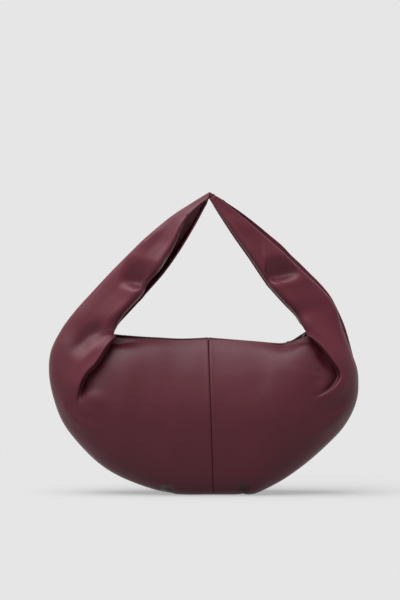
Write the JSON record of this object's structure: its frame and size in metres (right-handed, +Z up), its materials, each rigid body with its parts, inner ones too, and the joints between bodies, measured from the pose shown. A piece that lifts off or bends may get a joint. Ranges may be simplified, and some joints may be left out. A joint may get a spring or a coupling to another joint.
{
  "type": "hobo bag",
  "caption": "Crescent leather hobo bag with a wide folded shoulder strap, a zipped top and a flat base.",
  "frame": {"origin": "under the middle of the bag, on the surface that it stands on", "axes": "+Z up, front panels face -Y, zip closes towards +X"},
  "size_m": [0.4405, 0.132, 0.4285],
  "materials": {
    "maroon_leather": "smooth nappa with a soft sheen",
    "split_leather": "raw split leather",
    "cotton_lining": "plain woven cotton",
    "seam_tape": "thin woven tape",
    "base_board": "stiff plastic sheet",
    "strap_webbing": "woven webbing",
    "zip_tape": "woven zip tape",
    "zip_chain": "black coated metal",
    "zip_slider": "black coated metal"
  },
  "bodies": {
    "bag": {"front_left_panel": "maroon_leather", "front_right_panel": "maroon_leather", "back_left_panel": "maroon_leather", "back_right_panel": "maroon_leather", "zip_end_tab_left": "maroon_leather", "zip_end_tab_right": "maroon_leather", "strap_anchor_left": "split_leather", "strap_anchor_right": "split_leather", "lining_front": "cotton_lining", "lining_back": "cotton_lining", "inner_pocket": "cotton_lining", "front_seam_tape": "seam_tape", "back_seam_tape": "seam_tape", "side_seam_tape_left": "seam_tape", "side_seam_tape_right": "seam_tape", "base_board": "base_board", "zip_tape_front": "zip_tape", "zip_tape_back": "zip_tape", "zip_teeth_front": "zip_chain", "zip_teeth_back": "zip_chain", "zip_top_stops": "zip_chain", "zip_bottom_stop": "zip_chain"},
    "strap": {"strap_left_front": "maroon_leather", "strap_left_back": "maroon_leather", "strap_right_front": "maroon_leather", "strap_right_back": "maroon_leather", "strap_webbing_left": "strap_webbing", "strap_webbing_right": "strap_webbing"},
    "zip_slider": {"zip_slider_body": "zip_slider", "zip_slider_bail": "zip_slider"},
    "zip_pull": {"zip_pull": "zip_slider"}
  },
  "joints": [
    {"name": "strap_swing", "type": "hinge", "parent": "bag", "child": "strap", "pos_m": [0, 0, 0.212], "axis": [1, 0, 0], "range_deg": [-85, 85]},
    {"name": "zip_run", "type": "slide", "parent": "bag", "child": "zip_slider", "axis": [1, 0, 0], "range_m": [-0.198, 0]},
    {"name": "pull_swing", "type": "hinge", "parent": "zip_slider", "child": "zip_pull", "pos_m": [0.1217, 0, 0.2135], "axis": [0, -1, 0], "range_deg": [0, 143]}
  ]
}
